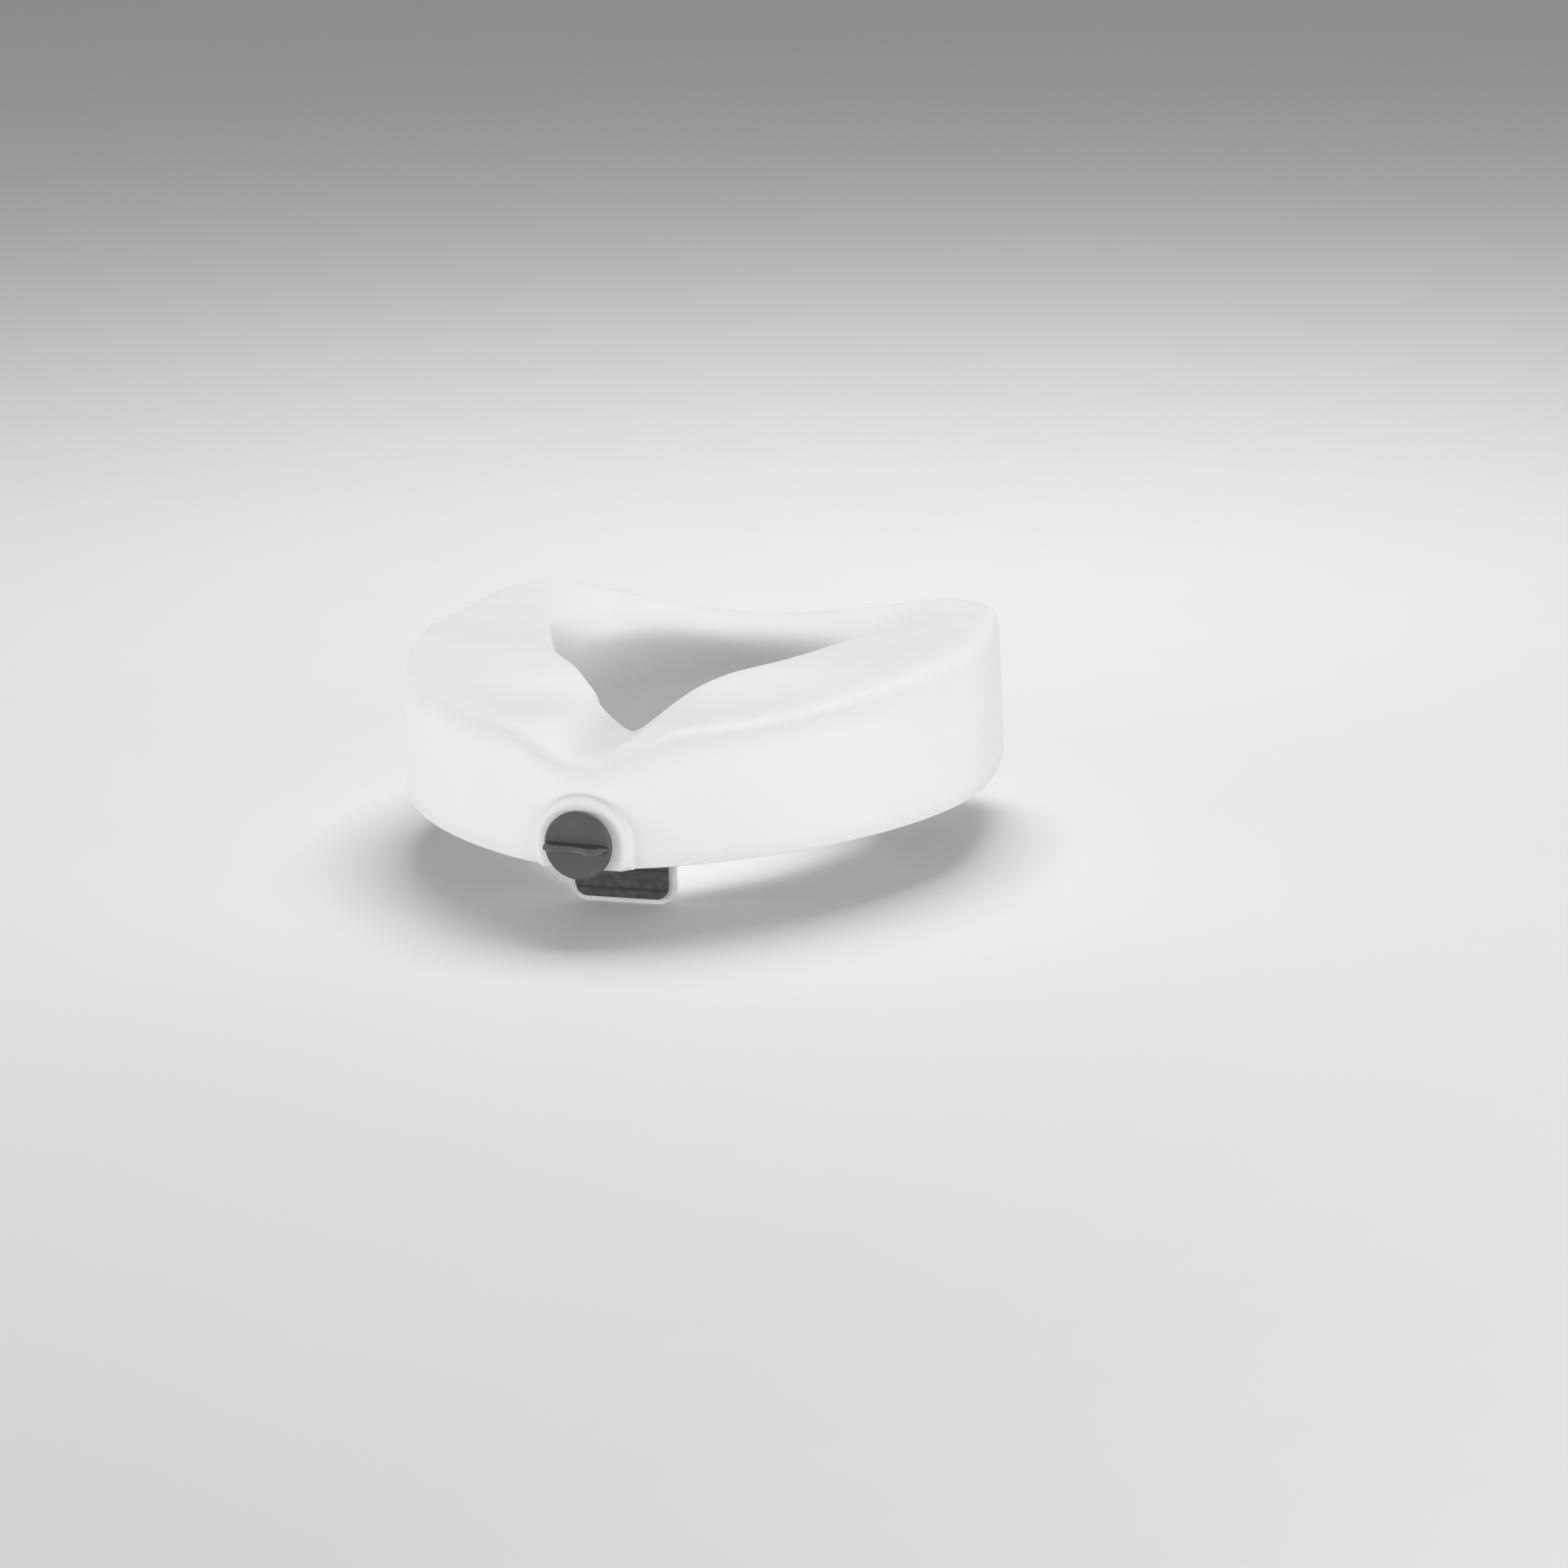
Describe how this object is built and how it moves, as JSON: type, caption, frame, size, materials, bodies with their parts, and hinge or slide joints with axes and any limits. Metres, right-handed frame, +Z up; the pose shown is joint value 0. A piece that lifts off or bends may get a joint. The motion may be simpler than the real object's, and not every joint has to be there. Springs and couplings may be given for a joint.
{
  "type": "raised toilet seat",
  "caption": "Hollow moulded raised toilet seat with a pear-shaped opening and front scoop, held on the bowl by a knob-driven sliding clamp plate.",
  "frame": {"origin": "on the centre line of the flat underside that rests on the bowl rim, 208.5 mm behind the front edge of the body (the boss and the knob stand further forward)", "axes": "+Z up, the front with the knob faces -Y, and +X is to the right of someone who stands in front and faces the knob"},
  "size_m": [0.424, 0.428, 0.1518],
  "materials": {
    "body_plastic": "moulded satin white polyethylene",
    "knob_plastic": "satin dark grey plastic",
    "nylon": "natural off-white nylon",
    "bracket_plastic": "moulded light grey plastic",
    "grip_rubber": "matte black rubber",
    "screw_steel": "zinc plated steel",
    "washer_steel": "plain steel",
    "brass": "machined brass"
  },
  "bodies": {
    "seat": {"seat_body": "body_plastic", "front_bushing": "nylon", "guide_rail_left": "nylon", "guide_rail_right": "nylon", "tail_bearing": "nylon", "fixing_screws": "screw_steel", "rear_bracket_left": "bracket_plastic", "rear_bracket_right": "bracket_plastic", "bracket_pad_left": "grip_rubber", "bracket_pad_right": "grip_rubber", "rim_pad_front_left": "grip_rubber", "rim_pad_front_right": "grip_rubber", "rim_pad_rear_left": "grip_rubber", "rim_pad_rear_right": "grip_rubber", "blow_plug": "body_plastic"},
    "knob_and_screw": {"worm_screw": "screw_steel", "knob": "knob_plastic", "knob_pin": "screw_steel", "thrust_washer": "washer_steel", "inner_washer": "washer_steel", "retaining_clip": "washer_steel"},
    "clamp_plate": {"locking_plate": "bracket_plastic", "drive_nut": "brass", "plate_pad": "grip_rubber"}
  },
  "joints": [
    {"name": "knob_turn", "type": "hinge", "parent": "seat", "child": "knob_and_screw", "pos_m": [0, -0.2, 0.019], "axis": [0, 1, 0], "range_deg": [0, 1080]},
    {"name": "plate_slide", "type": "slide", "parent": "seat", "child": "clamp_plate", "axis": [0, -1, 0], "range_m": [0, 0.018]}
  ],
  "couplings": [
    {"joint": "plate_slide", "follows": "knob_turn", "m_per_rad": 0.0009549}
  ]
}
